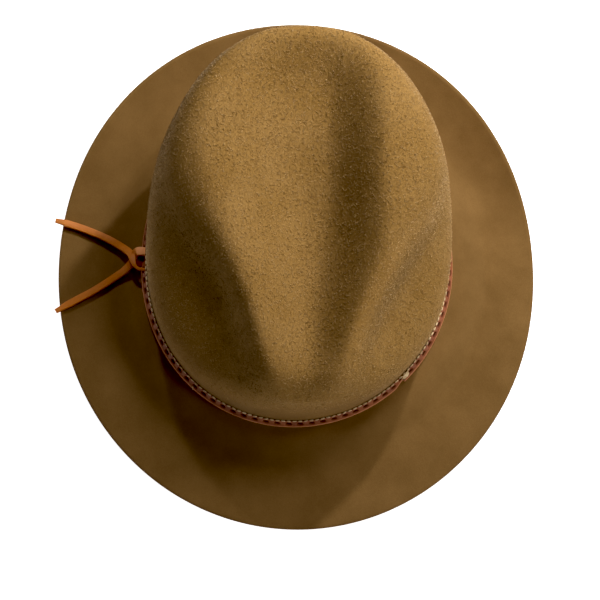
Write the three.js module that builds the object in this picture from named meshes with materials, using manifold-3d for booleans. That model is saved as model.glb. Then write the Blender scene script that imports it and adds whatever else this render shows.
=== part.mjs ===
// A felt fedora with a teardrop crown, a stitched leather hat band and a leather lace tied at one side.
// Millimetres, +Z up. The front of the hat faces -Y and the lace is on the -X side.
// The origin is on the surface that the brim rests on, under the middle of the brim.
import * as THREE from 'three';
import Module from 'manifold-3d';
import { mergeVertices } from 'three/addons/utils/BufferGeometryUtils.js';

const wasm = await Module();
wasm.setup();

// Driving dimensions
const FELT_THICKNESS = 2;
const CROWN_CENTRE_Y = 2.9;
const BRIM = { side: 146.5, front: 156.8, back: 155.6, edgeLift: 23, curl: 1.6, flatFrom: 0.42, riseFrom: 0.5 };
const STRAP = { thickness: 2, gap: 0.45, lapGap: 0.35, skived: 0.5, firstStep: -8, lastStep: -82, rampSteps: 3 };
const LACE = { width: 4.3, thickness: 2.2, corner: 0.4 };

// How finely the faceted solids are cut
const AROUND = 72;
const BRIM_RINGS = 8;

// Crown sections, from the middle of the top down to the foot of the crown. height is at the crown's
// middle, slope is the rise per millimetre towards the back, side, front and back are the reaches of the
// oval, square is its superellipse power, lean is its shift to +X, swell is how far three low bulges stand
// out of the oval, and rings says how many cuts lie between this section and the next.
const CROWN = [
  { height: 118.5, slope: 0.163, side: 0, front: 0, back: 0, square: 2.1, lean: 1, swell: 0, rings: 3 },
  { height: 118.5, slope: 0.163, side: 33, front: 46, back: 48, square: 2.1, lean: 1, swell: 0, rings: 4 },
  { height: 116, slope: 0.163, side: 57.5, front: 74.5, back: 90, square: 2.45, lean: 1, swell: 0, rings: 3 },
  { height: 107.5, slope: 0.158, side: 73.7, front: 89, back: 98.7, square: 2.25, lean: 1, swell: 0, rings: 3 },
  { height: 89.5, slope: 0.138, side: 82.6, front: 95.8, back: 105.6, square: 2.1, lean: 1, swell: 0, rings: 3 },
  { height: 70, slope: 0.09, side: 86.6, front: 96.6, back: 104.8, square: 2.2, lean: 0.2, swell: 0.1, rings: 2 },
  { height: 46, slope: 0.03, side: 88.3, front: 97.5, back: 102, square: 2.15, lean: -1, swell: 0.4, rings: 2 },
  { height: 26, slope: 0, side: 90, front: 98.1, back: 99.7, square: 2.05, lean: -1, swell: 0.7, rings: 1 },
  { height: 20.5, slope: 0, side: 90.8, front: 98.4, back: 99.3, square: 2.03, lean: -1, swell: 0.75, rings: 1 },
  { height: 12.5, slope: 0, side: 92.9, front: 99.1, back: 99.8, square: 2.03, lean: -1, swell: 0.75, rings: 1 },
  { height: 10.4, slope: 0, side: 94.9, front: 100.8, back: 101.4, square: 2.03, lean: -1, swell: 0.7, rings: 1 },
  { height: 9.8, slope: 0, side: 98.3, front: 104, back: 104.4, square: 2.05, lean: -0.8, swell: 0.4, rings: 1 },
];
const SWELL_TURN = 0.09;
const STRAP_STOPS = [8, 8.35, 8.7, 9.05];

// The teardrop crease, a row every CREASE_STEP from CREASE_BACK towards the front. left and right are the
// x of the two ridges, floor is the x of the lowest line, depth is how far that line lies below the ridges.
const CREASE_BACK = 96;
const CREASE_STEP = 24;
const CREASE = [
  { left: -50, floor: 6, right: 45, depth: 1 },
  { left: -60, floor: 10, right: 45.5, depth: 13 },
  { left: -61, floor: 12.5, right: 46, depth: 19 },
  { left: -57, floor: 12, right: 45.5, depth: 24 },
  { left: -50, floor: 10, right: 47, depth: 26 },
  { left: -40, floor: 7, right: 46.5, depth: 25 },
  { left: -32, floor: 4.5, right: 42.5, depth: 22.5 },
  { left: -27, floor: 3, right: 36, depth: 17 },
  { left: -22, floor: 0, right: 27, depth: 6 },
];
const CREASE_HEIGHTS = { none: 55, full: 90 };

// The two pinches: the middle of each, the way it runs, the way the felt is pushed, how far it is pushed,
// and the dent's half length and half width.
const PINCHES = [
  { at: [-68, -53, 102], along: [0.42, -0.9, -0.1], push: [0.75, 0.4, -0.6], depth: 27, long: 44, wide: 21 },
  { at: [71, -48, 100], along: [-0.45, -0.89, 0], push: [-0.6, 0.2, -0.7], depth: 26, long: 46, wide: 18 },
];

const clamp01 = (value) => Math.min(Math.max(value, 0), 1);
const ease = (from, to, value) => {
  const t = clamp01((value - from) / (to - from));
  return t * t * (3 - 2 * t);
};
const cubic = (a, b, c, d, t) => b + 0.5 * t * (c - a + t * (2 * a - 5 * b + 4 * c - d + t * (3 * (b - c) + d - a)));

// One row of a table, read smoothly between its rows
function rowAt(rows, place) {
  const last = rows.length - 1;
  const i = Math.min(Math.floor(place), last - 1);
  const [a, b, c, d] = [i - 1, i, i + 1, i + 2].map((j) => rows[Math.min(Math.max(j, 0), last)]);
  const row = {};
  for (const name of Object.keys(b)) row[name] = cubic(a[name], b[name], c[name], d[name], place - i);
  return row;
}

// Radius of an oval whose side, front and back reaches differ
function ovalRadius({ side, front, back }, power, angle) {
  if (side === 0) return 0;
  const across = Math.abs(Math.cos(angle)) / side;
  const forward = Math.abs(Math.sin(angle)) / (Math.sin(angle) < 0 ? front : back);
  return (across ** power + forward ** power) ** (-1 / power);
}

function ovalPoint(oval, power, angle, centreY) {
  const radius = ovalRadius(oval, power, angle);
  return new THREE.Vector3(radius * Math.cos(angle), centreY + radius * Math.sin(angle), 0);
}

function pinch(point) {
  const moved = point.clone();
  for (const { at, along, push, depth, long, wide } of PINCHES) {
    const offset = point.clone().sub(new THREE.Vector3(...at));
    const run = offset.dot(new THREE.Vector3(...along).normalize());
    const beside = offset.lengthSq() - run * run;
    const share = Math.exp(-0.5 * ((run / long) ** 2 + beside / wide ** 2));
    moved.addScaledVector(new THREE.Vector3(...push).normalize(), depth * share);
  }
  return moved;
}

function crease(point) {
  const place = Math.min(Math.max((CREASE_BACK - point.y) / CREASE_STEP, 0), CREASE.length - 1);
  const { left, floor, right, depth } = rowAt(CREASE, place);
  const away = point.x < floor ? (floor - point.x) / (floor - left) : (point.x - floor) / (right - floor);
  const share = Math.cos((Math.PI / 2) * Math.min(away, 1)) ** 2;
  point.z -= depth * share * ease(CREASE_HEIGHTS.none, CREASE_HEIGHTS.full, point.z);
  return point;
}

function crownPoint(place, angle) {
  const section = rowAt(CROWN, place);
  const point = ovalPoint(section, section.square, angle, CROWN_CENTRE_Y);
  const swell = section.swell * Math.cos(3 * (angle - SWELL_TURN));
  point.x += section.lean + swell * Math.cos(angle);
  point.y += swell * Math.sin(angle);
  point.z = section.height + section.slope * (point.y - CROWN_CENTRE_Y);
  return crease(pinch(point));
}

// The brim from the foot of the crown (0) to its edge (1): down to the surface, level in front, and rolled
// up towards the back
function brimPoint(share, angle) {
  const foot = crownPoint(CROWN.length - 1, angle);
  const point = foot.clone().lerp(ovalPoint(BRIM, 2, angle, 0), share);
  const level = FELT_THICKNESS;
  const back = ease(-0.3, 1, Math.sin(angle)) ** 1.3;
  const from = BRIM.riseFrom - 0.45 * ease(0.35, 1, Math.sin(angle));
  const rise = BRIM.edgeLift * back * clamp01((share - from) / (1 - from)) ** BRIM.curl;
  point.z = level + (foot.z - level) * (1 - ease(0, BRIM.flatFrom, share)) + rise;
  return point;
}

// Outer face of the felt at a place along its profile: crown rows first, then the brim
const CROWN_END = CROWN.length - 1;
const BRIM_EDGE = CROWN_END + 1;
function feltPoint(place, angle) {
  return place <= CROWN_END ? crownPoint(place, angle) : brimPoint(place - CROWN_END, angle);
}

function feltNormal(place, angle) {
  const turn = 0.004;
  const before = Math.max(place - 0.01, 0.02);
  const after = Math.min(Math.max(place, 0.02) + 0.01, BRIM_EDGE);
  const down = feltPoint(after, angle).sub(feltPoint(before, angle));
  const round = feltPoint(Math.max(place, 0.02), angle + turn).sub(feltPoint(Math.max(place, 0.02), angle - turn));
  return down.cross(round).normalize();
}

const besideFelt = (place, angle, offset) =>
  feltPoint(place, angle).addScaledVector(feltNormal(place, angle), offset);

// A closed mesh from loops of points: neighbouring loops are joined, and the first and last are closed
// over by a fan, to a given tip or to the loop's own first point
function skin(loops, firstTip, lastTip) {
  const count = loops[0].length;
  const points = loops.flat();
  const faces = [];
  for (let i = 0; i + 1 < loops.length; i++) {
    for (let j = 0; j < count; j++) {
      const [a, b] = [i * count + j, i * count + ((j + 1) % count)];
      faces.push(a, a + count, b, b, a + count, b + count);
    }
  }
  const fan = (tip, start, flip) => {
    const centre = tip ? points.push(tip) - 1 : start;
    for (let j = tip ? 0 : 1; j < (tip ? count : count - 1); j++) {
      const [a, b] = [start + j, start + ((j + 1) % count)];
      faces.push(centre, flip ? b : a, flip ? a : b);
    }
  };
  fan(firstTip, 0, false);
  fan(lastTip, (loops.length - 1) * count, true);
  const geometry = new THREE.BufferGeometry().setFromPoints(points);
  geometry.setIndex(faces);
  geometry.computeVertexNormals();
  return geometry;
}

function leather(color) {
  return new THREE.MeshStandardMaterial({ color, roughness: 0.55, metalness: 0 });
}

function named(name, geometry, material) {
  const mesh = new THREE.Mesh(geometry, material);
  mesh.name = name;
  return mesh;
}

const stepAngle = (step) => (2 * Math.PI * step) / AROUND;

// Felt: out over the crown and brim, round the brim's edge and back under to the inside of the crown
function feltBody() {
  const places = [];
  CROWN.slice(0, -1).forEach(({ rings }, row) => {
    for (let i = 0; i < rings; i++) places.push(row + i / rings);
  });
  for (let i = 0; i <= BRIM_RINGS; i++) places.push(CROWN_END + i / BRIM_RINGS);
  const ring = (place, offset) =>
    Array.from({ length: AROUND }, (_, step) => besideFelt(place, stepAngle(step), offset));
  const outer = places.slice(1).map((place) => ring(place, 0));
  const inner = places.slice(1).map((place) => ring(place, -FELT_THICKNESS)).reverse();
  const top = feltPoint(0, 0);
  const under = feltPoint(0, 0);
  for (let step = 0; step < AROUND; step++) {
    under.addScaledVector(feltNormal(0, stepAngle(step)), -FELT_THICKNESS / AROUND);
  }
  const felt = new THREE.MeshStandardMaterial({ color: 0x8a6a3a, roughness: 1, metalness: 0 });
  return named('felt_body', skin([...outer, ...inner], top, under), felt);
}

// Strap: it starts under its own outer end at the front right, goes once round the crown and laps over itself.
// Both ends are skived thin, so that the lap stands little prouder than the rest.
function hatBand() {
  const lapStart = STRAP.firstStep - AROUND;
  const lap = STRAP.thickness * STRAP.skived + STRAP.lapGap;
  const loops = [];
  for (let step = STRAP.firstStep; step >= STRAP.lastStep; step--) {
    const onTop = ease(lapStart + STRAP.rampSteps + 1, lapStart + 1, step);
    const under = ease(STRAP.lastStep + AROUND - STRAP.rampSteps, STRAP.lastStep + AROUND, step);
    const thickness = STRAP.thickness * (1 - (1 - STRAP.skived) * Math.max(onTop, under));
    const out = STRAP.gap + lap * onTop;
    const edge = (offset) => STRAP_STOPS.map((place) => besideFelt(place, stepAngle(step), offset));
    loops.push([...edge(out + thickness), ...edge(out).reverse()]);
  }
  return named('hat_band', skin(loops), leather(0xa85f35));
}

// The lace's square-cut section with its corners taken off, turned so that its wide face looks up
function laceSection(turn) {
  const [up, out, cut] = [LACE.thickness / 2, LACE.width / 2, LACE.corner];
  const quarter = [[up, out - cut], [up - cut, out]];
  const corners = [
    ...quarter,
    ...quarter.map(([a, b]) => [-a, b]).reverse(),
    ...quarter.map(([a, b]) => [-a, -b]),
    ...quarter.map(([a, b]) => [a, -b]).reverse(),
  ];
  const middle = new THREE.Vector2();
  return new THREE.Shape(corners.map((corner) => new THREE.Vector2(...corner).rotateAround(middle, turn)));
}

function laceAlong(route, stepLength = 2 * LACE.width) {
  const path = new THREE.CatmullRomCurve3(route.map((point) => new THREE.Vector3(...point)));
  const steps = Math.ceil(path.getLength() / stepLength);
  const { normals, binormals } = path.computeFrenetFrames(steps, false);
  const section = laceSection(Math.atan2(binormals[0].z, normals[0].z));
  return new THREE.ExtrudeGeometry(section, { extrudePath: path, steps, bevelEnabled: false, curveSegments: 1 });
}

function toSolid(geometry) {
  const bare = geometry.clone();
  bare.deleteAttribute('normal');
  bare.deleteAttribute('uv');
  const merged = mergeVertices(bare);
  return new wasm.Manifold(new wasm.Mesh({
    numProp: 3,
    vertProperties: Float32Array.from(merged.attributes.position.array),
    triVerts: Uint32Array.from(merged.index.array),
  }));
}

function fromSolid(solid) {
  const mesh = solid.getMesh();
  const geometry = new THREE.BufferGeometry();
  geometry.setAttribute('position', new THREE.BufferAttribute(mesh.vertProperties, 3));
  geometry.setIndex(new THREE.BufferAttribute(mesh.triVerts, 1));
  geometry.computeVertexNormals();
  return geometry;
}

// The middle of the lace: its two strands come out of slots in the strap's face and cross, the rear end's over
// the front end's, and a small turn of lace holds them together
const KNOT = { x: -99, y: 1.8, z: 17.4, depth: 4.2, length: 5.4, height: 4.4, step: 2.2 };
const REAR_STRAND = [
  [-94.5, -4.6, 18.5],
  [-96.2, -4.6, 19],
  [-97.5, -3.8, 19.4],
  [-98.6, -2, 19.6],
  [-99.4, 0.2, 19.4],
  [-100, 2.4, 18.9],
  [-100.7, 4.4, 17.9],
  [-101.5, 5.9, 16.8],
];
const FRONT_STRAND = [
  [-94.5, 6.4, 18.6],
  [-96.2, 6.4, 19.2],
  [-97.6, 5.8, 18.8],
  [-98.8, 4.5, 17.4],
  [-99.7, 2.6, 16.1],
  [-100.7, 0.8, 15.6],
  [-101.8, -0.7, 15.2],
];
function tieKnot() {
  const turns = new THREE.SphereGeometry(0.5, 12, 8);
  turns.scale(KNOT.depth, KNOT.length, KNOT.height);
  turns.translate(KNOT.x, KNOT.y, KNOT.z);
  const strands = [REAR_STRAND, FRONT_STRAND].map((route) => toSolid(laceAlong(route, KNOT.step)));
  const solid = strands.reduce((knot, strand) => knot.add(strand), toSolid(turns));
  return named('tie_knot', fromSolid(solid), leather(0xa8622a));
}

// The two free ends, laid out over the brim to just past its edge
const REAR_END = [
  [-102, 6.6, 16.1],
  [-103.1, 7.8, 14.9],
  [-104.3, 9, 13.6],
  [-107, 11.4, 11],
  [-110.1, 13.9, 8.6],
  [-113.9, 16.5, 6.8],
  [-117.8, 18.8, 5.8],
  [-122.2, 20.9, 5.4],
  [-126.6, 22.7, 5.5],
  [-130.9, 24.3, 6],
  [-135.2, 25.6, 6.7],
  [-138.8, 26.5, 7.7],
  [-142, 27.3, 8.7],
  [-145.5, 28, 9.6],
  [-149.1, 28.7, 10.2],
];
const FRONT_END = [
  [-102.65, -1.6, 14.5],
  [-103.2, -2, 14],
  [-104, -2.6, 13.3],
  [-106.3, -3.9, 11.1],
  [-109.3, -5.3, 8.8],
  [-112.6, -6.9, 6.7],
  [-116, -8.9, 5.4],
  [-120.2, -11.6, 4.8],
  [-124.4, -14.3, 4.6],
  [-128.5, -16.7, 4.5],
  [-132.7, -19, 4.4],
  [-136.5, -21.2, 4.2],
  [-139.8, -23, 4.1],
  [-143.3, -25.1, 4.1],
  [-147, -27.4, 4.3],
];

const hat = new THREE.Group();
hat.add(feltBody());
hat.add(hatBand());
hat.add(tieKnot());
hat.add(named('tie_end_rear', laceAlong(REAR_END), leather(0xb0692c)));
hat.add(named('tie_end_front', laceAlong(FRONT_END), leather(0xb0692c)));

export default hat;
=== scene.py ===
# Felt fedora: blocked felt, a stitched leather strap and a leather lace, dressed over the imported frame
import bpy
import math
import numpy as np
from mathutils import Matrix, Vector


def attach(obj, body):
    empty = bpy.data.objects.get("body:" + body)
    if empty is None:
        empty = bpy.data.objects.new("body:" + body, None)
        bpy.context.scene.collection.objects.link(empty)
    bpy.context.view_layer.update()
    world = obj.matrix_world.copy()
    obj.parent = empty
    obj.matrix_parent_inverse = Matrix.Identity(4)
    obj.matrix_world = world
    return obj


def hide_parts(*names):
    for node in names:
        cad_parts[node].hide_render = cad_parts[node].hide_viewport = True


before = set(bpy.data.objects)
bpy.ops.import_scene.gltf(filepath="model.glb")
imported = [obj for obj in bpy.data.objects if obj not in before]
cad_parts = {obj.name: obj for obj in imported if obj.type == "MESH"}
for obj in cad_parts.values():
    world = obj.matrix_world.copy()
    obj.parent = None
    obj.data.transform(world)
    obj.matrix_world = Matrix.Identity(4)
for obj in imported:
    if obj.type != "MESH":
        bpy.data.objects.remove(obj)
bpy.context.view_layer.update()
mm = 0.001


# Camera, set by where the foot of the crown and the brim's outline lie in the photo
camera = {
    "distance": 0.675,          # from the foot of the crown
    "elevation": 75.3,          # degrees above the surface
    "aside": -0.019,            # the camera stands a little to the wearer's right
    "pixelsPerMetre": 1630,     # at the foot of the crown
    "imageSize": 600,
    "footPixel": (297.7, 262.9),
    "foot": (0, 0.0029, 0.010),
    "sensorWidth": 36,          # mm
    "clipStart": 0.05,
}


def makeCamera(c):
    elevation = math.radians(c["elevation"])
    backward = Vector((c["aside"] / c["distance"], -math.cos(elevation), math.sin(elevation))).normalized()
    upward = (Vector((0, 1, 0)) - backward * backward.y).normalized()
    right = upward.cross(backward)
    middle = c["imageSize"] / 2
    offX = (c["footPixel"][0] - middle) / c["pixelsPerMetre"]
    offY = (middle - c["footPixel"][1]) / c["pixelsPerMetre"]
    target = Vector(c["foot"]) - right * offX - upward * offY
    data = bpy.data.cameras.new("camera")
    data.sensor_width = c["sensorWidth"]
    data.lens = c["sensorWidth"] * c["pixelsPerMetre"] * c["distance"] / c["imageSize"]
    data.clip_start = c["clipStart"]
    ob = bpy.data.objects.new("camera", data)
    ob.matrix_world = Matrix.Translation(target + backward * c["distance"]) @ Matrix(
        (right, upward, backward)).transposed().to_4x4()
    bpy.context.collection.objects.link(ob)
    bpy.context.scene.camera = ob


makeCamera(camera)
print("camera placed")


# The hat's form, in millimetres, from the same tables as the solid felt
# A row is a section of the crown, from the middle of its top down to the foot
crown = {
    "centreY": 2.9,
    "height": [118.5, 118.5, 116, 107.5, 89.5, 70, 46, 26, 20.5, 12.5, 10.4, 9.8],
    "slope": [0.163, 0.163, 0.163, 0.158, 0.138, 0.09, 0.03, 0, 0, 0, 0, 0],   # rise towards the back
    "side": [0, 33, 57.5, 73.7, 82.6, 86.6, 88.3, 90, 90.8, 92.9, 94.9, 98.3],
    "front": [0, 46, 74.5, 89, 95.8, 96.6, 97.5, 98.1, 98.4, 99.1, 100.8, 104],
    "back": [0, 48, 90, 98.7, 105.6, 104.8, 102, 99.7, 99.3, 99.8, 101.4, 104.4],
    "square": [2.1, 2.1, 2.45, 2.25, 2.1, 2.2, 2.15, 2.05, 2.03, 2.03, 2.03, 2.05],   # 2 is an ellipse
    "lean": [1, 1, 1, 1, 1, 0.2, -1, -1, -1, -1, -1, -0.8],     # shift to the wearer's left
    "swell": [0, 0, 0, 0, 0, 0.1, 0.4, 0.7, 0.75, 0.75, 0.7, 0.4],
}
swellCount = 3                  # low bulges round the foot of the crown
swellTurn = 0.09                # radians from +X to the first of them
crease = {                      # the long dent along the top, by steps of y from the back
    "back": 96,
    "step": 24,
    "heights": (55, 90),
    "left": [-50, -60, -61, -57, -50, -40, -32, -27, -22],
    "floor": [6, 10, 12.5, 12, 10, 7, 4.5, 3, 0],
    "right": [45, 45.5, 46, 45.5, 47, 46.5, 42.5, 36, 27],
    "depth": [1, 13, 19, 24, 26, 25, 22.5, 17, 6],
}
pinches = [
    {"at": (-68, -53, 102), "along": (0.42, -0.9, -0.1), "push": (0.75, 0.4, -0.6),
     "depth": 27, "long": 44, "wide": 21},
    {"at": (71, -48, 100), "along": (-0.45, -0.89, 0), "push": (-0.6, 0.2, -0.7),
     "depth": 26, "long": 46, "wide": 18},
]
groove = {                      # sharp line in the pinch on the wearer's left, by steps of y
    "back": 10,
    "step": 15,
    "x": [80, 65, 54.2, 45.2, 37.2, 32.4, 28.4, 26],
    "depth": [0, 0.9, 1.9, 2.1, 1.9, 1.4, 0.6, 0],
    "width": 4.0,
    "heights": (50, 75),
    "paintShading": 0.4,             # painted light on one side of the line and painted shade on the other, for each mm of its depth
}
brim = {
    "side": 146.5,
    "front": 156.8,
    "back": 155.6,
    "flatFrom": 0.42,           # share of the way out where the foot's curve ends
    "edgeLift": 23,             # of the rolled-up edge behind
    "riseFrom": 0.5,            # share of the way out where the roll starts at the sides
    "riseSooner": 0.45,         # how much nearer to the crown it starts behind
    "soonerFrom": 0.35,         # sine of the angle where that begins
    "liftFrom": -0.3,           # sine of the angle where the edge begins to rise
    "liftPower": 1.3,
    "curl": 1.6,
}
feltThickness = 2
crownEnd = len(crown["height"]) - 1     # a place on the felt is a row's number, then the share of the brim
brimEdge = crownEnd + 1
placeStep, angleStep = 0.01, 0.004      # for the felt's normals
nearTop = 0.02
tiny = 1e-9


def ease(start, end, value):
    t = np.clip((value - start) / (end - start), 0, 1)
    return t * t * (3 - 2 * t)


def between(ends, share):
    return ends[0] + (ends[1] - ends[0]) * share


def rowAt(column, place):
    column = np.asarray(column, float)
    last = len(column) - 1
    i = np.minimum(np.floor(place).astype(int), last - 1)
    t = place - i
    a, b, c, d = (column[np.clip(i + k, 0, last)] for k in (-1, 0, 1, 2))
    return b + 0.5 * t * (c - a + t * (2 * a - 5 * b + 4 * c - d + t * (3 * (b - c) + d - a)))


def ovalPoint(side, front, back, power, angle, centreY):
    side = np.maximum(side, tiny)
    reach = np.maximum(np.where(np.sin(angle) < 0, front, back), tiny)
    across, along = np.abs(np.cos(angle)) / side, np.abs(np.sin(angle)) / reach
    radius = (across ** power + along ** power) ** (-1 / power)
    return radius * np.cos(angle), centreY + radius * np.sin(angle)


def unit(vector):
    vector = np.asarray(vector, float)
    return vector / np.linalg.norm(vector)


def unitRows(vectors):
    return vectors / np.linalg.norm(vectors, axis=-1, keepdims=True)


def pinched(points):
    moved = points.copy()
    for p in pinches:
        offset = points - np.asarray(p["at"], float)
        run = offset @ unit(p["along"])
        beside = (offset ** 2).sum(-1) - run ** 2
        share = np.exp(-0.5 * ((run / p["long"]) ** 2 + beside / p["wide"] ** 2))
        moved += (p["depth"] * share)[..., None] * unit(p["push"])
    return moved


def creased(points):
    x, y, z = points[..., 0], points[..., 1], points[..., 2]
    place = np.clip((crease["back"] - y) / crease["step"], 0, len(crease["depth"]) - 1)
    left, floor, right, depth = (rowAt(crease[k], place) for k in ("left", "floor", "right", "depth"))
    away = np.where(x < floor, (floor - x) / (floor - left), (x - floor) / (right - floor))
    share = np.cos(math.pi / 2 * np.minimum(away, 1)) ** 2
    return np.stack([x, y, z - depth * share * ease(*crease["heights"], z)], -1)


def grooveAt(points):
    x, y, z = points[..., 0], points[..., 1], points[..., 2]
    place = np.clip((groove["back"] - y) / groove["step"], 0, len(groove["depth"]) - 1)
    away = (x - rowAt(groove["x"], place)) / groove["width"]
    return away, rowAt(groove["depth"], place) * np.exp(-0.5 * away ** 2) * ease(*groove["heights"], z)


def grooved(points):
    return points - grooveAt(points)[1][..., None] * np.array([0, 0, 1])


def crownPoint(place, angle):
    section = {k: rowAt(v, place) for k, v in crown.items() if k != "centreY"}
    x, y = ovalPoint(section["side"], section["front"], section["back"], section["square"], angle,
                     crown["centreY"])
    swell = section["swell"] * np.cos(swellCount * (angle - swellTurn))
    x = x + section["lean"] + swell * np.cos(angle)
    y = y + swell * np.sin(angle)
    z = section["height"] + section["slope"] * (y - crown["centreY"])
    return grooved(creased(pinched(np.stack([x, y, z], -1))))


def brimPoint(share, angle):
    foot = crownPoint(np.full(angle.shape, float(crownEnd)), angle)
    edgeX, edgeY = ovalPoint(brim["side"], brim["front"], brim["back"], 2, angle, 0)
    back = ease(brim["liftFrom"], 1, np.sin(angle)) ** brim["liftPower"]
    start = brim["riseFrom"] - brim["riseSooner"] * ease(brim["soonerFrom"], 1, np.sin(angle))
    rise = brim["edgeLift"] * back * np.clip((share - start) / (1 - start), 0, 1) ** brim["curl"]
    z = feltThickness + (foot[..., 2] - feltThickness) * (1 - ease(0, brim["flatFrom"], share)) + rise
    x = foot[..., 0] + (edgeX - foot[..., 0]) * share
    y = foot[..., 1] + (edgeY - foot[..., 1]) * share
    return np.stack([x, y, z], -1)


def feltPoint(place, angle):
    place, angle = np.broadcast_arrays(np.asarray(place, float), np.asarray(angle, float))
    onCrown = crownPoint(np.minimum(place, crownEnd), angle)
    onBrim = brimPoint(np.clip(place - crownEnd, 0, 1), angle)
    return np.where((place <= crownEnd)[..., None], onCrown, onBrim)


def feltNormal(place, angle):
    place = np.maximum(np.asarray(place, float), nearTop)
    place, angle = np.broadcast_arrays(place, np.asarray(angle, float))
    down = feltPoint(np.minimum(place + placeStep, brimEdge), angle) - feltPoint(place - placeStep, angle)
    around = feltPoint(place, angle + angleStep) - feltPoint(place, angle - angleStep)
    return unitRows(np.cross(down, around))


def besideFelt(place, angle, offset):
    return feltPoint(place, angle) + feltNormal(place, angle) * np.asarray(offset)[..., None]


# Meshes
def makeMesh(name, points, faces, smooth=True):
    data = bpy.data.meshes.new(name)
    data.from_pydata(np.asarray(points, float).tolist(), [], faces)
    data.update()
    if smooth:
        data.shade_smooth()
    else:
        data.shade_flat()
    ob = bpy.data.objects.new(name, data)
    bpy.context.collection.objects.link(ob)
    return ob


def joinRings(rings, count):
    faces = []
    for i in range(rings - 1):
        a, b = i * count, (i + 1) * count
        faces += [(a + j, b + j, b + (j + 1) % count, a + (j + 1) % count) for j in range(count)]
    return faces


def tubeFaces(rings, count):
    faces = [face[::-1] for face in joinRings(rings, count)]
    end = (rings - 1) * count
    return faces + [tuple(range(count)), tuple(range(end + count - 1, end - 1, -1))]


def framesAlong(line, reference):
    tangent = unitRows(np.gradient(line, axis=0))
    across = unitRows(np.cross(tangent, reference))
    return across, np.cross(across, tangent)


def addAttribute(ob, name, values):
    layer = ob.data.attributes.new(name, "FLOAT", "POINT")
    layer.data.foreach_set("value", np.asarray(values, float))


# Materials
def nodesOf(name, roughness, specular=None):
    material = bpy.data.materials.new(name)
    material.use_nodes = True
    tree = material.node_tree
    shader = tree.nodes["Principled BSDF"]
    shader.inputs["Roughness"].default_value = roughness
    if specular is not None:
        shader.inputs["Specular IOR Level"].default_value = specular
    return material, tree, shader


def addNode(tree, kind, inputs=None, **settings):
    node = tree.nodes.new(kind)
    for key, value in settings.items():
        setattr(node, key, value)
    for key, value in (inputs or {}).items():
        if isinstance(value, bpy.types.NodeSocket):
            tree.links.new(value, node.inputs[key])
        else:
            node.inputs[key].default_value = value
    return node


def noise(tree, vector, scale, detail=2, roughness=0.5, distortion=0):
    return addNode(tree, "ShaderNodeTexNoise", {
        "Vector": vector, "Scale": scale, "Detail": detail, "Roughness": roughness,
        "Distortion": distortion}).outputs["Fac"]


def ramp(tree, value, stops):
    node = addNode(tree, "ShaderNodeValToRGB", {"Fac": value})
    while len(node.color_ramp.elements) < len(stops):
        node.color_ramp.elements.new(0.5)
    for element, (place, colour) in zip(node.color_ramp.elements, stops):
        element.position = place
        element.color = (*colour, 1)
    return node.outputs["Color"]


def mixColour(tree, factor, a, b, mode="MIX"):
    node = addNode(tree, "ShaderNodeMix", data_type="RGBA", blend_type=mode)
    for socket, value in ((node.inputs[0], factor), (node.inputs[6], a), (node.inputs[7], b)):
        if isinstance(value, bpy.types.NodeSocket):
            tree.links.new(value, socket)
        elif isinstance(value, (int, float)):
            socket.default_value = value
        else:
            socket.default_value = (*value, 1)
    return node.outputs[2]


def maths(tree, kind, a, b=0.0, clamp=False):
    node = addNode(tree, "ShaderNodeMath", operation=kind, use_clamp=clamp)
    for socket, value in zip(node.inputs, (a, b)):
        if isinstance(value, bpy.types.NodeSocket):
            tree.links.new(value, socket)
        else:
            socket.default_value = value
    return node.outputs[0]


def multiplyAdd(tree, value, factor, added):
    result = maths(tree, "MULTIPLY_ADD", value, factor)
    result.node.inputs[2].default_value = added
    return result


def attribute(tree, name):
    return addNode(tree, "ShaderNodeAttribute", attribute_name=name).outputs["Fac"]


def bump(tree, shader, height, strength, distance):
    node = addNode(tree, "ShaderNodeBump", {"Height": height, "Strength": strength, "Distance": distance})
    tree.links.new(node.outputs["Normal"], shader.inputs["Normal"])


black, white = (0, 0, 0), (1, 1, 1)
feltLook = {
    "brim": ((0.173, 0.095, 0.0325), (0.209, 0.1165, 0.041)),   # dark and light drifts
    "crown": ((0.245, 0.136, 0.039), (0.285, 0.163, 0.052)),
    "hair": ((0.28, 0.16, 0.052), (0.52, 0.34, 0.155)),
    "roughness": 0.95,
    "specular": 0.08,
    "hairRoughness": 0.8,
    "hairSpecular": 0.15,
    "driftScale": 38,
    "driftStops": [(0.36, black), (0.64, white)],
    "hairScale": 500,
    "hairStops": [(0.35, black), (0.65, white)],
    "shadeStops": [(0.5, (0.66, 0.63, 0.58)), (0.6, white), (0.72, (1.24, 1.23, 1.2))],
    "crownGrain": 0.87,
    "brimGrain": 0.24,              # share of the grain that shows on the smooth brim
    "paintedShadeStrength": 0.34,            # strength of the painted shading: the felt is painted darker where it faces away from the lamps and lighter where painted light lies
    "fibreTurns": (25, -38, 82),    # degrees, the ways that the fibres run
    "fibreStretch": 3.4,
    "fibreScale": 2600,
    "fibreDepth": 0.0006,           # metres of bump
    "bumpStrength": 0.7,
    "pileScale": 330,
    "pileShare": 0.5,
    "sheen": 0.14,
    "sheenRoughness": 0.18,
    "sheenTint": (1, 0.78, 0.5, 1),
}


def stretchedNoise(tree, place, turn, look):
    mapped = addNode(tree, "ShaderNodeMapping", {
        "Vector": place, "Rotation": (0, 0, math.radians(turn)), "Scale": (1, look["fibreStretch"], 1)},
        vector_type="TEXTURE")
    return noise(tree, mapped.outputs["Vector"], look["fibreScale"], roughness=0.55, distortion=0.6)


# Painted shade and painted light on the felt and its hairs: the colour is darkened by the painted shading, and
# lightened where it is negative
def paintShading(tree, colour, look):
    darker = multiplyAdd(tree, attribute(tree, "paintedShading"), -look["paintedShadeStrength"], 1)
    return mixColour(tree, 1.0, colour, darker, "MULTIPLY")


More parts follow.
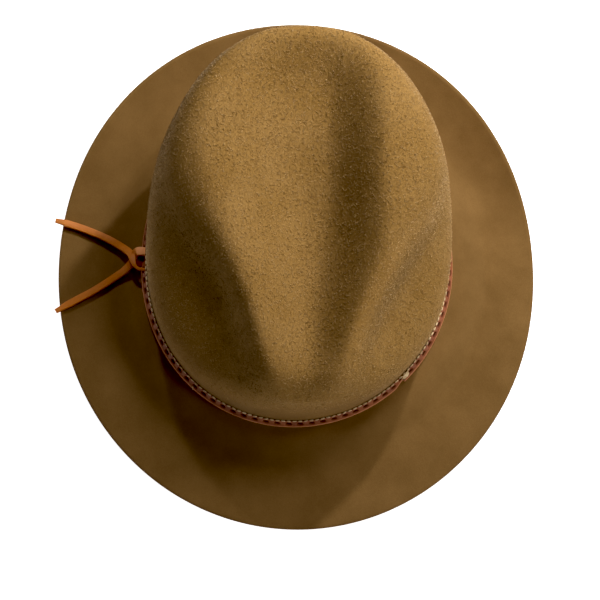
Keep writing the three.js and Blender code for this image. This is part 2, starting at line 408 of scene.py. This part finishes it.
def makeFeltMaterial(look):
    material, tree, shader = nodesOf("olive felt", look["roughness"], look["specular"])
    place = addNode(tree, "ShaderNodeTexCoord").outputs["Object"]
    raised = attribute(tree, "nap")
    drift = ramp(tree, noise(tree, place, look["driftScale"], detail=5, roughness=0.62), look["driftStops"])
    smooth, napped = (mixColour(tree, drift, *look[k]) for k in ("brim", "crown"))
    colour = mixColour(tree, raised, smooth, napped)
    fibre = stretchedNoise(tree, place, look["fibreTurns"][0], look)
    for turn in look["fibreTurns"][1:]:
        fibre = maths(tree, "MAXIMUM", fibre, stretchedNoise(tree, place, turn, look))
    shade = ramp(tree, fibre, look["shadeStops"])
    strength = multiplyAdd(tree, raised, look["crownGrain"] - look["brimGrain"], look["brimGrain"])
    colour = mixColour(tree, strength, colour, mixColour(tree, 1.0, colour, shade, "MULTIPLY"))
    tree.links.new(paintShading(tree, colour, look), shader.inputs["Base Color"])
    shader.inputs["Sheen Weight"].default_value = look["sheen"]
    shader.inputs["Sheen Roughness"].default_value = look["sheenRoughness"]
    shader.inputs["Sheen Tint"].default_value = look["sheenTint"]
    pile = noise(tree, place, look["pileScale"], detail=3, roughness=0.6)
    height = maths(tree, "ADD", fibre, maths(tree, "MULTIPLY", pile, look["pileShare"]))
    bump(tree, shader, maths(tree, "MULTIPLY", height, strength), look["bumpStrength"], look["fibreDepth"])
    return material


def makeHairMaterial(look):
    material, tree, shader = nodesOf("felt hair", look["hairRoughness"], look["hairSpecular"])
    place = addNode(tree, "ShaderNodeTexCoord").outputs["Object"]
    tone = ramp(tree, noise(tree, place, look["hairScale"]), look["hairStops"])
    colour = mixColour(tree, tone, *look["hair"])
    tree.links.new(paintShading(tree, colour, look), shader.inputs["Base Color"])
    return material


strapLook = {
    "clouds": ((0.19, 0.05, 0.018), (0.3, 0.09, 0.034)),        # dark and light
    "roughness": 0.45,
    # painted shade, near black, in the slots' hollows
    "shadowPaint": (0.03, 0.006, 0.002),
    # painted highlight along the strap's lower edge
    "highlightPaint": (0.72, 0.29, 0.14),
}
laceLook = {
    "clouds": ((0.47, 0.14, 0.014), (0.62, 0.195, 0.024)),
    "roughness": 0.55,
    # painted shade on the dark turn under the knot's crossing
    "shadowPaint": (0.16, 0.022, 0.006),
    # painted highlight on the knot's front strand beside the strap
    "highlightPaint": (0.95, 0.4, 0.15),
}
leatherGrain = {
    "specular": 0.35,
    "cloudScale": 90,
    "cloudStops": [(0.3, black), (0.7, white)],
    "poreScale": 1300,
    "poreShare": 0.6,
    "grainScale": 900,
    "bumpStrength": 0.35,
    "depth": 0.0003,                # metres of bump
}
threadLook = {
    "colours": ((0.56, 0.39, 0.19), (0.86, 0.67, 0.4)),
    "roughness": 0.7,
    "wearScale": 300,
    "twistScale": 2600,
    "bumpStrength": 0.4,
    "depth": 0.0002,
}


def makeLeatherMaterial(name, look, grained):
    material, tree, shader = nodesOf(name, look["roughness"], grained["specular"])
    place = addNode(tree, "ShaderNodeTexCoord").outputs["Object"]
    cloud = noise(tree, place, grained["cloudScale"], detail=4, roughness=0.6)
    pores = addNode(tree, "ShaderNodeTexVoronoi", {
        "Vector": place, "Scale": grained["poreScale"], "Randomness": 1}).outputs["Distance"]
    grain = noise(tree, place, grained["grainScale"], detail=3, roughness=0.6)
    colour = mixColour(tree, ramp(tree, cloud, grained["cloudStops"]), *look["clouds"])
    # painted shade where the shade attribute is set, with a rougher surface there
    paintedShadow = attribute(tree, "shadowPaint")
    # painted highlight where the highlight attribute is set
    colour = mixColour(tree, attribute(tree, "highlightPaint"), colour, look["highlightPaint"])
    tree.links.new(mixColour(tree, paintedShadow, colour, look["shadowPaint"]), shader.inputs["Base Color"])
    tree.links.new(maths(tree, "ADD", paintedShadow, look["roughness"], clamp=True), shader.inputs["Roughness"])
    height = maths(tree, "ADD", maths(tree, "MULTIPLY", pores, grained["poreShare"]), grain)
    bump(tree, shader, height, grained["bumpStrength"], grained["depth"])
    return material


def makeThreadMaterial(look):
    material, tree, shader = nodesOf("cream thread", look["roughness"])
    place = addNode(tree, "ShaderNodeTexCoord").outputs["Object"]
    wear = noise(tree, place, look["wearScale"], detail=3, roughness=0.6)
    tree.links.new(mixColour(tree, wear, *look["colours"]), shader.inputs["Base Color"])
    bump(tree, shader, noise(tree, place, look["twistScale"]), look["bumpStrength"], look["depth"])
    return material


feltMaterial = makeFeltMaterial(feltLook)
hairMaterial = makeHairMaterial(feltLook)
strapMaterial = makeLeatherMaterial("strap leather", strapLook, leatherGrain)
laceMaterial = makeLeatherMaterial("lace leather", laceLook, leatherGrain)
threadMaterial = makeThreadMaterial(threadLook)
print("materials made")


def dress(ob, material, nodes=()):
    ob.data.materials.clear()
    ob.data.materials.append(material)
    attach(ob, "root")
    if nodes:
        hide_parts(*nodes)


# Felt body
felt = {
    "around": 320,
    "outerRings": 8,        # for each row of the crown's table
    "innerRings": 5,
    "brimRings": 34,
    "edgeRings": 5,
    "edgeBulge": 0.35,      # mm that the cut edge stands proud
    "napFades": (4, 6.4),   # the crown's rows between which the raised nap lies down
    "paintedShadeTurn": 1.4,     # painted shade on the side that faces the wearer's right, away from the lamps: how soon it is at its darkest
    "paintedHighlightTone": 0.6,      # painted highlight just above the strap on the wearer's left, where the felt faces the lamps
    "paintedHighlightFrom": (4.2, 6.2),
    "paintedHighlightTo": (8.2, 9),
}


def feltRings(perRow, brimRings):
    onCrown = np.arange(1, crownEnd * perRow) / perRow
    onBrim = crownEnd + np.linspace(0, 1, brimRings + 1)
    return np.concatenate([onCrown, onBrim])


def napHeight(place):
    return 1 - ease(*felt["napFades"], place)


# Painted shading of the raised felt: painted shade on the side away from the lamps, a painted highlight above the
# strap on the side that faces them, and painted light and shade either side of the groove
def paintedNapShading(place, angle):
    sideways = feltNormal(place, angle)[..., 0]
    paintedRimLight = felt["paintedHighlightTone"] * np.clip(sideways, 0, 1) * ease(*felt["paintedHighlightFrom"], place)
    paintedRimLight = paintedRimLight * (1 - ease(*felt["paintedHighlightTo"], place))
    away, depth = grooveAt(feltPoint(place, angle))
    paintedShadeAway = np.clip(-felt["paintedShadeTurn"] * sideways, 0, 1) * napHeight(place)
    return paintedShadeAway - paintedRimLight + groove["paintShading"] * depth * away


def makeFelt(f):
    angle = np.linspace(0, 2 * math.pi, f["around"], endpoint=False)
    outer = feltRings(f["outerRings"], f["brimRings"])
    inner = feltRings(f["innerRings"], f["brimRings"] // 2)[::-1]
    rings = [feltPoint(p, angle) for p in outer]
    raised = [napHeight(p) for p in outer]
    paintedShading = [paintedNapShading(p, angle) for p in outer]
    edge = feltPoint(brimEdge, angle)
    normal = feltNormal(brimEdge, angle)
    outward = unitRows(edge - feltPoint(brimEdge - 2 * placeStep, angle))
    for k in range(1, f["edgeRings"] + 1):
        down = k / (f["edgeRings"] + 1)
        bulge = f["edgeBulge"] * math.sqrt(1 - (2 * down - 1) ** 2)
        rings.append(edge - normal * feltThickness * down + outward * bulge)
    rings += [besideFelt(p, angle, -feltThickness) for p in inner]
    top = feltPoint(0, np.zeros(1))[0]
    under = top - feltNormal(nearTop, angle).mean(0) * feltThickness
    count = f["around"]
    points = np.concatenate(rings + [top[None], under[None]]) * mm
    faces = joinRings(len(rings), count)
    topIndex, underIndex = len(points) - 2, len(points) - 1
    start = (len(rings) - 1) * count
    faces += [(topIndex, j, (j + 1) % count) for j in range(count)]
    faces += [(underIndex, start + (j + 1) % count, start + j) for j in range(count)]
    ob = makeMesh("feltBody", points, faces)
    inside = len(rings) - len(outer)
    addAttribute(ob, "nap", np.concatenate([np.repeat(raised + [0.0] * inside, count), [1, 0]]))
    # painted shade and painted light for the felt's colour
    addAttribute(ob, "paintedShading", np.concatenate(paintedShading + [np.zeros(inside * count + 2)]))
    dress(ob, feltMaterial, ["felt_body"])


makeFelt(felt)
print("felt made")


# Raised hairs of the nap, by Geometry Nodes: short closed spindles that lie nearly flat
nap = {
    "count": 32000,
    "length": 2.0,              # mm
    "width": 0.25,
    "lift": 0.3,                # mm that a hair's tip stands off the felt
    "sunk": 0.1,                # mm that its root is in the felt
    "belly": (0.4, 0.6),        # where it is thickest, as shares of length and lift
    "turnLeast": (-0.04, -0.05, 0),
    "turnMost": (0.04, 0.03, 2 * math.pi),
    "sizeLeast": (0.5, 0.6, 0.3),
    "sizeMost": (1.25, 1.3, 1.5),
    "around": 120,
    "rings": 60,
    "from": 0.1,                # the crown's rows between which the nap stands
    "upTo": 6.6,
    "seed": 11,
}


def applyNodes(ob, tree, inputs, name):
    modifier = ob.modifiers.new("nodes", "NODES")
    modifier.node_group = tree
    for item in tree.interface.items_tree:
        if item.in_out == "INPUT" and item.name in inputs:
            modifier[item.identifier] = inputs[item.name]
    bpy.context.view_layer.update()
    result = bpy.data.meshes.new_from_object(ob.evaluated_get(bpy.context.evaluated_depsgraph_get()))
    ob.modifiers.remove(modifier)
    bpy.data.objects.remove(ob)
    piece = bpy.data.objects.new(name, result)
    bpy.context.collection.objects.link(piece)
    return piece


def makeHair(h):
    along, up = h["belly"]
    points = [(0, 0, -h["sunk"])]
    for turn in (90, 210, 330):
        a = math.radians(turn)
        points.append((along * h["length"], h["width"] / 2 * math.cos(a),
                       up * h["lift"] + h["width"] / 2 * math.sin(a)))
    points.append((h["length"], 0, h["lift"]))
    faces = [(0, 1 + (j + 1) % 3, 1 + j) for j in range(3)]
    faces += [(1 + j, 1 + (j + 1) % 3, 4) for j in range(3)]
    return makeMesh("hair", np.asarray(points) * mm, faces)


def newTree(name, sizes):
    tree = bpy.data.node_groups.new(name, "GeometryNodeTree")
    tree.interface.new_socket("Geometry", in_out="INPUT", socket_type="NodeSocketGeometry")
    for size, kind in sizes:
        tree.interface.new_socket(size, in_out="INPUT", socket_type="NodeSocket" + kind)
    tree.interface.new_socket("Geometry", in_out="OUTPUT", socket_type="NodeSocketGeometry")
    return tree, tree.nodes.new("NodeGroupInput"), tree.nodes.new("NodeGroupOutput")


def randomVector(tree, least, most, seed):
    return addNode(tree, "FunctionNodeRandomValue", {"Min": least, "Max": most, "Seed": seed},
                   data_type="FLOAT_VECTOR").outputs["Value"]


def turnedBy(tree, rotation, turn):
    return addNode(tree, "FunctionNodeRotateRotation", {"Rotation": rotation, "Rotate By": turn},
                   rotation_space="LOCAL").outputs["Rotation"]


def placeAndFinish(tree, sink, points, shape, rotation, size, material):
    placed = addNode(tree, "GeometryNodeInstanceOnPoints", {
        "Points": points, "Instance": shape, "Rotation": rotation, "Scale": size})
    real = addNode(tree, "GeometryNodeRealizeInstances", {"Geometry": placed.outputs["Instances"]})
    finish = addNode(tree, "GeometryNodeSetMaterial", {"Geometry": real.outputs["Geometry"], "Material": material})
    tree.links.new(finish.outputs["Geometry"], sink.inputs["Geometry"])


def napTree(h, material):
    tree, source, sink = newTree("hairs on a surface", (("Hair", "Object"), ("Density", "Float"), ("Seed", "Int")))
    thick = addNode(tree, "GeometryNodeInputNamedAttribute", {"Name": "nap"}, data_type="FLOAT")
    density = addNode(tree, "ShaderNodeMath", {0: thick.outputs["Attribute"], 1: source.outputs["Density"]},
                      operation="MULTIPLY")
    spread = addNode(tree, "GeometryNodeDistributePointsOnFaces", {
        "Mesh": source.outputs["Geometry"], "Density": density.outputs[0], "Seed": source.outputs["Seed"]})
    hair = addNode(tree, "GeometryNodeObjectInfo", {"Object": source.outputs["Hair"]})
    turn = randomVector(tree, h["turnLeast"], h["turnMost"], source.outputs["Seed"])
    size = randomVector(tree, h["sizeLeast"], h["sizeMost"], source.outputs["Seed"])
    turned = turnedBy(tree, spread.outputs["Rotation"], turn)
    placeAndFinish(tree, sink, spread.outputs["Points"], hair.outputs["Geometry"], turned, size, material)
    return tree


def makeNap(h):
    angle = np.linspace(0, 2 * math.pi, h["around"], endpoint=False)
    places = np.linspace(h["from"], h["upTo"], h["rings"])
    points = np.concatenate([feltPoint(p, angle) for p in places]) * mm
    skin = makeMesh("nap skin", points, joinRings(len(places), len(angle)))
    thick = [napHeight(p) for p in places]
    addAttribute(skin, "nap", np.repeat(thick, len(angle)))
    # the same painted shade and painted light for the hairs
    addAttribute(skin, "paintedShading", np.concatenate([paintedNapShading(p, angle) for p in places]))
    area = sum(p.area * thick[p.index // len(angle)] for p in skin.data.polygons)
    hair = makeHair(h)
    inputs = {"Hair": hair, "Density": h["count"] / area, "Seed": h["seed"]}
    piece = applyNodes(skin, napTree(h, hairMaterial), inputs, "feltNap")
    bpy.data.objects.remove(hair)
    dress(piece, hairMaterial)
    print("nap made,", len(piece.data.polygons), "faces")


makeNap(nap)


# Strap round the foot of the crown
strap = {
    "edgeThickness": 0.6,       # mm, skived thin along the upper edge
    "thickness": 2.3,
    "fullFrom": 0.55,           # across the strap, where it reaches its whole thickness
    "gap": 0.12,
    "lapGap": 0.1,
    "places": (8.0, 9.05),      # the crown's rows that it covers
    "start": -40.0,             # degrees, the inner end, under the outer end
    "end": -409.0,
    "ramp": (-396.0, -399.5),   # where the inner face leaves the felt for the lap
    "skived": 0.38,             # share of the thickness that is left under the lap
    "startSkive": (-54.0, -49.0),
    "steps": 1800,
    "outerPoints": 26,
    "innerPoints": 5,
    "edgeRound": 0.9,
    "edgeShare": 0.62,          # of the thickness, where the rounding meets the edge
    "lapRise": 0.1,
    "height": 8.8,              # mm across the strap, on the felt's curve
    "slotPitch": 6.6,
    "slotHalfLength": 1.95,
    "slotHalfHeight": 1.35,
    "slotAcross": 0.36,
    "slotDepth": 1.2,
    "slotSoftness": 1.3,
    "highlightPaintFrom": (0.55, 0.85),   # across the strap, the lower edge is painted lighter, a painted highlight where it catches the light
}


def makeStrap(s):
    degrees = np.linspace(s["start"], s["end"], s["steps"])
    angle = np.radians(degrees)
    lap = ease(*s["ramp"], degrees)
    thin = 1 - (1 - s["skived"]) * ease(*s["startSkive"], degrees)
    middle = feltPoint(np.mean(s["places"]), angle)
    along = np.concatenate([[0], np.cumsum(np.linalg.norm(np.diff(middle, axis=0), axis=1))])
    columns, slotShadowPaint, highlightPaint = [], [], []

    def thicknessAt(across):
        return between((s["edgeThickness"], s["thickness"]), ease(0, s["fullFrom"], across))

    for across in np.linspace(0, 1, s["outerPoints"]):
        fromEdge = min(across, 1 - across) * s["height"]
        roundness = math.sqrt(1 - (1 - min(fromEdge / s["edgeRound"], 1)) ** 2)
        beside = ((along % s["slotPitch"]) - s["slotPitch"] / 2) / s["slotHalfLength"]
        above = (across - s["slotAcross"]) * s["height"] / s["slotHalfHeight"]
        inSlot = ease(0, 1, np.clip(s["slotSoftness"] - beside ** 2 - above ** 2, 0, 1))
        rounded = between((s["edgeShare"], 1), roundness)
        offset = s["gap"] + thicknessAt(across) * rounded * thin + s["lapRise"] * lap
        columns.append(besideFelt(between(s["places"], across), angle, offset - s["slotDepth"] * inSlot * thin))
        slotShadowPaint.append(inSlot)
        highlightPaint.append(np.full(s["steps"], ease(*s["highlightPaintFrom"], across)))
    for across in np.linspace(1, 0, s["innerPoints"] + 2)[1:-1]:
        inner = s["gap"] + (thicknessAt(across) * s["skived"] + s["lapGap"]) * lap
        columns.append(besideFelt(between(s["places"], across), angle, inner))
        slotShadowPaint.append(np.zeros(s["steps"]))
        highlightPaint.append(np.zeros(s["steps"]))
    points = np.stack(columns, 1).reshape(-1, 3) * mm
    ob = makeMesh("hatBand", points, tubeFaces(s["steps"], len(columns)))
    # the slots' hollows are painted near black, painted shade
    addAttribute(ob, "shadowPaint", np.stack(slotShadowPaint, 1).reshape(-1))
    # painted highlight along the lower edge
    addAttribute(ob, "highlightPaint", np.stack(highlightPaint, 1).reshape(-1))
    dress(ob, strapMaterial, ["hat_band"])


makeStrap(strap)
print("strap made")


# Stitches along the strap's upper edge, by Geometry Nodes
stitches = {
    "pitch": 3.3 * mm,
    "length": 2.6 * mm,
    "thickness": 0.95 * mm,
    "place": 7.98,
    "lift": 0.62,               # mm above the felt
    "wobble": (0.12, 0.12, 0.18),
    "beadSides": (10, 7),
    "guidePoints": 900,
    "pastEnds": (-10, 1),       # degrees from the strap's ends to the row's
    "threadPoints": 12,
    "seed": 4,
    "tack": {                   # the bar of thread at the lap, and how its threads wander
        "from": -46.6, "to": -49.6, "places": (7.95, 8.24), "lift": (0.9, 2.0), "count": 5, "thickness": 0.85,
        "lean": 0.06, "arch": 0.4, "shift": 0.4, "shiftStep": 2.3},
    "looseEnd": {"angle": -127.6, "places": (8.35, 9.0), "turn": 0.4, "lift": (2.6, 2.9), "thickness": 0.5},
}


def stitchTree(s, material):
    tree, source, sink = newTree("stitches along an edge",
                                 (("Pitch", "Float"), ("Length", "Float"), ("Thickness", "Float")))
    curve = addNode(tree, "GeometryNodeMeshToCurve", {"Mesh": source.outputs["Geometry"]})
    spaced = addNode(tree, "GeometryNodeResampleCurve", {"Curve": curve.outputs["Curve"],
                                                        "Length": source.outputs["Pitch"]}, mode="LENGTH")
    segments, rings = s["beadSides"]
    bead = addNode(tree, "GeometryNodeMeshUVSphere", {"Segments": segments, "Rings": rings, "Radius": 0.5})
    smooth = addNode(tree, "GeometryNodeSetShadeSmooth", {"Geometry": bead.outputs["Mesh"]})
    tangent = addNode(tree, "GeometryNodeInputTangent")
    turn = addNode(tree, "FunctionNodeAlignRotationToVector", {"Vector": tangent.outputs["Tangent"]}, axis="X")
    wobble = randomVector(tree, tuple(-v for v in s["wobble"]), s["wobble"], s["seed"])
    turned = turnedBy(tree, turn.outputs["Rotation"], wobble)
    size = addNode(tree, "ShaderNodeCombineXYZ", {
        "X": source.outputs["Length"], "Y": source.outputs["Thickness"], "Z": source.outputs["Thickness"]})
    placeAndFinish(tree, sink, spaced.outputs["Curve"], smooth.outputs["Geometry"], turned,
                   size.outputs["Vector"], material)
    return tree


def makeThread(line, thickness, sides=8):
    across, up = framesAlong(line, (0.3, 0.2, 1))
    share = np.linspace(-1, 1, len(line))
    radius = thickness / 2 * np.sqrt(np.maximum(1 - share ** 4, 0.05))[:, None]     # rounded off at both ends
    turns = np.linspace(0, 2 * math.pi, sides, endpoint=False)
    rings = np.stack([line + radius * (across * math.cos(a) + up * math.sin(a)) for a in turns], 1)
    return rings.reshape(-1, 3), tubeFaces(len(line), sides)


def joined(parts):
    points, faces, base = [], [], 0
    for part in parts:
        points.append(part[0])
        faces += [tuple(i + base for i in face) for face in part[1]]
        base += len(part[0])
    return np.concatenate(points), faces


def makeTacks(s):
    parts = []
    tack = s["tack"]
    run = np.linspace(0, 1, s["threadPoints"])
    for k in range(tack["count"]):
        share = k / (tack["count"] - 1)
        place = between(tack["places"], share) + tack["lean"] * (run - 0.5) * (-1) ** k
        lift = between(tack["lift"], share) + tack["arch"] * np.sin(math.pi * run)
        shift = tack["shift"] * math.sin(tack["shiftStep"] * k)
        angle = np.radians(between((tack["from"], tack["to"]), run) + shift)
        parts.append(makeThread(besideFelt(place, angle, lift), tack["thickness"]))
    loose = s["looseEnd"]
    angle = np.radians(loose["angle"] + loose["turn"] * run)
    line = besideFelt(between(loose["places"], run), angle, between(loose["lift"], run))
    parts.append(makeThread(line, loose["thickness"]))
    points, faces = joined(parts)
    ob = makeMesh("strapTacks", points * mm, faces)
    dress(ob, threadMaterial)


def makeStitches(s):
    before, after = s["pastEnds"]
    degrees = np.linspace(strap["start"] + before, strap["end"] + after, s["guidePoints"])
    line = besideFelt(s["place"], np.radians(degrees), s["lift"]) * mm
    guide = bpy.data.meshes.new("stitch line")
    guide.from_pydata(line.tolist(), [(i, i + 1) for i in range(len(line) - 1)], [])
    ob = bpy.data.objects.new("stitch line", guide)
    bpy.context.collection.objects.link(ob)
    inputs = {"Pitch": s["pitch"], "Length": s["length"], "Thickness": s["thickness"]}
    piece = applyNodes(ob, stitchTree(s, threadMaterial), inputs, "strapStitches")
    dress(piece, threadMaterial)


makeStitches(stitches)
makeTacks(stitches)
print("stitches made")


# The lace: a flat strip of leather that comes out of the strap's face, is knotted and has two free ends
lace = {
    "width": 4.3,
    "thickness": 2.2,
    "corner": 0.4,
    "samples": 90,
    "cornerTurns": (0, 30, 60, 90),
    "tipWidth": 0.62,           # of the full width, at the cut tip
    "tipFrom": 0.82,            # along a free end, where it starts to narrow
    "rearEnd": [(-102, 6.6, 16.1), (-103.1, 7.8, 14.9), (-104.3, 9, 13.6), (-107, 11.4, 11), (-110.1, 13.9, 8.6),
                (-113.9, 16.5, 6.8), (-117.8, 18.8, 5.8), (-122.2, 20.9, 5.4), (-126.6, 22.7, 5.5),
                (-130.9, 24.3, 6), (-135.2, 25.6, 6.7), (-138.8, 26.5, 7.7), (-142, 27.3, 8.7), (-145.5, 28, 9.6),
                (-149.1, 28.7, 10.2)],
    "frontEnd": [(-102.65, -1.6, 14.5), (-103.2, -2, 14), (-104, -2.6, 13.3), (-106.3, -3.9, 11.1),
                 (-109.3, -5.3, 8.8), (-112.6, -6.9, 6.7), (-116, -8.9, 5.4), (-120.2, -11.6, 4.8),
                 (-124.4, -14.3, 4.6), (-128.5, -16.7, 4.5), (-132.7, -19, 4.4), (-136.5, -21.2, 4.2),
                 (-139.8, -23, 4.1), (-143.3, -25.1, 4.1), (-147, -27.4, 4.3)],
}


def smoothRoute(route, samples):
    route = np.asarray(route, float)
    place = np.linspace(0, len(route) - 1, samples)
    return np.stack([rowAt(route[:, k], place) for k in range(3)], -1)


def roundedStrip(width, thickness, corner):
    outline = []
    for cx, cy, start in ((1, 1, 0), (-1, 1, 90), (-1, -1, 180), (1, -1, 270)):
        for turn in lace["cornerTurns"]:
            a = math.radians(start + turn)
            outline.append((cx * (width / 2 - corner) + corner * math.cos(a),
                            cy * (thickness / 2 - corner) + corner * math.sin(a)))
    return outline


def stripAlong(line, width, thickness, corner, narrow=1.0):
    outline = roundedStrip(width, thickness, corner)
    narrow = np.broadcast_to(np.asarray(narrow, float), len(line))[:, None]
    across, up = framesAlong(line, (0, 0, 1))
    rings = [line + across * a * narrow + up * b for a, b in outline]
    return np.stack(rings, 1).reshape(-1, 3), tubeFaces(len(line), len(outline))


def makeLaceEnd(name, node, route):
    line = smoothRoute(route, lace["samples"])
    narrow = 1 - (1 - lace["tipWidth"]) * ease(lace["tipFrom"], 1, np.linspace(0, 1, len(line)))
    points, faces = stripAlong(line, lace["width"], lace["thickness"], lace["corner"], narrow)
    ob = makeMesh(name, points * mm, faces)
    dress(ob, laceMaterial, [node])


# The knot: two strands come out of the strap and cross, the rear end's over the front end's
knot = {
    "rearStrand": [(-92.6, -4.4, 17.8), (-94.1, -4.4, 18.4), (-96, -4.2, 19), (-97.5, -3.2, 19.4),
                   (-98.6, -1.6, 19.6), (-99.4, 0.3, 19.4), (-100, 2.4, 18.9), (-100.7, 4.4, 17.9),
                   (-101.5, 5.9, 16.8), (-102.1, 6.7, 16)],
    "frontStrand": [(-92.4, 6.4, 19.6), (-94.2, 6.4, 20), (-96.4, 6.4, 19.8), (-97.8, 5.8, 18.8),
                    (-98.8, 4.5, 17.4), (-99.7, 2.6, 16.1), (-100.7, 0.8, 15.6), (-101.8, -0.7, 15.2),
                    (-102.6, -1.6, 14.5)],
    "rearWidth": 0.36,          # of the full width, where the strand goes into the strap
    "frontWidth": 1.15,
    "widens": (0.25, 0.75),     # along a strand
    "highlightPaintFades": (0.26, 0.34),     # along the front strand, where its paler painted highlight beside the strap fades out
    "strandSamples": 60,
    "turn": [(-93.2, 1.4, 16.2), (-95.4, 1.5, 16.4), (-97.6, 1.6, 16.6), (-99.4, 1.7, 16.8)],
    "turnSize": (7, 1.6, 0.3),  # width, thickness and corner of the turn under the crossing, which is painted dark as painted shade
    "turnSamples": 14,
}


def makeKnot(k):
    parts, highlightPaint = [], []
    for name, widthAtStrap in (("rearStrand", k["rearWidth"]), ("frontStrand", k["frontWidth"])):
        line = smoothRoute(k[name], k["strandSamples"])
        share = np.linspace(0, 1, len(line))
        narrow = between((widthAtStrap, 1), ease(*k["widens"], share))
        parts.append(stripAlong(line, lace["width"], lace["thickness"], lace["corner"], narrow))
        # the front strand is painted paler beside the strap, a painted highlight
        pale = (1 - ease(*k["highlightPaintFades"], share)) if name == "frontStrand" else 0 * share
        highlightPaint.append(np.repeat(pale, len(parts[-1][0]) // len(line)))
    parts.append(stripAlong(smoothRoute(k["turn"], k["turnSamples"]), *k["turnSize"]))
    count = len(parts[-1][0])
    highlightPaint.append(np.zeros(count))
    # the turn under the crossing is wholly painted shade
    inner = [np.zeros(len(part[0])) for part in parts[:2]] + [np.ones(count)]
    points, faces = joined(parts)
    ob = makeMesh("tieKnot", points * mm, faces)
    addAttribute(ob, "highlightPaint", np.concatenate(highlightPaint))
    addAttribute(ob, "shadowPaint", np.concatenate(inner))
    dress(ob, laceMaterial, ["tie_knot"])
    return ob


knotPiece = makeKnot(knot)
makeLaceEnd("tieEndRear", "tie_end_rear", lace["rearEnd"])
makeLaceEnd("tieEndFront", "tie_end_front", lace["frontEnd"])
print("lace made")


# Surface and lights
studio = {
    "floorSize": 4.0,
    "floorColour": (0.9, 0.9, 0.89, 1),
    "floorRoughness": 0.9,
    "floorSpecular": 0.1,
    "floorGlow": 1.0,
    "world": 0.078,
    "worldColour": (1, 0.82, 0.76, 1),
    "blackLevel": 0.01,
    "lights": [                 # azimuth from +X, elevation, distance and size in metres, power in watts
        {"name": "keyRight", "azimuth": 58, "elevation": 48, "distance": 0.6, "size": 0.03, "power": 2.08},
        {"name": "highRight", "azimuth": 40, "elevation": 65, "distance": 0.6, "size": 0.15, "power": 1.35},
        {"name": "backLeft", "azimuth": 110, "elevation": 48, "distance": 0.6, "size": 0.04, "power": 0.9},
        {"name": "sideRight", "azimuth": 20, "elevation": 38, "distance": 1.4, "size": 0.25, "power": 2.7},
        {"name": "frontRight", "azimuth": 330, "elevation": 25, "distance": 1.4, "size": 0.4, "power": 4.8},
    ],
}


def makeStudio(s):
    half = s["floorSize"] / 2
    floor = makeMesh("floor", [(-half, -half, 0), (half, -half, 0), (half, half, 0), (-half, half, 0)],
                     [(0, 1, 2, 3)], smooth=False)
    material, _, shader = nodesOf("pale surface", s["floorRoughness"], s["floorSpecular"])
    shader.inputs["Base Color"].default_value = s["floorColour"]
    shader.inputs["Emission Color"].default_value = (1, 1, 1, 1)
    shader.inputs["Emission Strength"].default_value = s["floorGlow"]
    floor.data.materials.append(material)
    world = bpy.data.worlds.new("studio")
    world.use_nodes = True
    background = world.node_tree.nodes["Background"]
    background.inputs["Strength"].default_value = s["world"]
    background.inputs["Color"].default_value = s["worldColour"]
    bpy.context.scene.world = world
    for light in s["lights"]:
        azimuth, elevation = math.radians(light["azimuth"]), math.radians(light["elevation"])
        direction = Vector((math.cos(azimuth) * math.cos(elevation), math.sin(azimuth) * math.cos(elevation),
                            math.sin(elevation)))
        data = bpy.data.lights.new(light["name"], "AREA")
        data.shape = "DISK"
        data.size = light["size"]
        data.energy = light["power"]
        ob = bpy.data.objects.new(light["name"], data)
        ob.location = direction * light["distance"]
        ob.rotation_euler = direction.to_track_quat("Z", "Y").to_euler()
        bpy.context.collection.objects.link(ob)
    view = bpy.context.scene.view_settings
    view.view_transform = "Standard"
    view.use_curve_mapping = True
    view.curve_mapping.black_level = [s["blackLevel"]] * 3
    view.curve_mapping.update()


makeStudio(studio)
print("studio made")
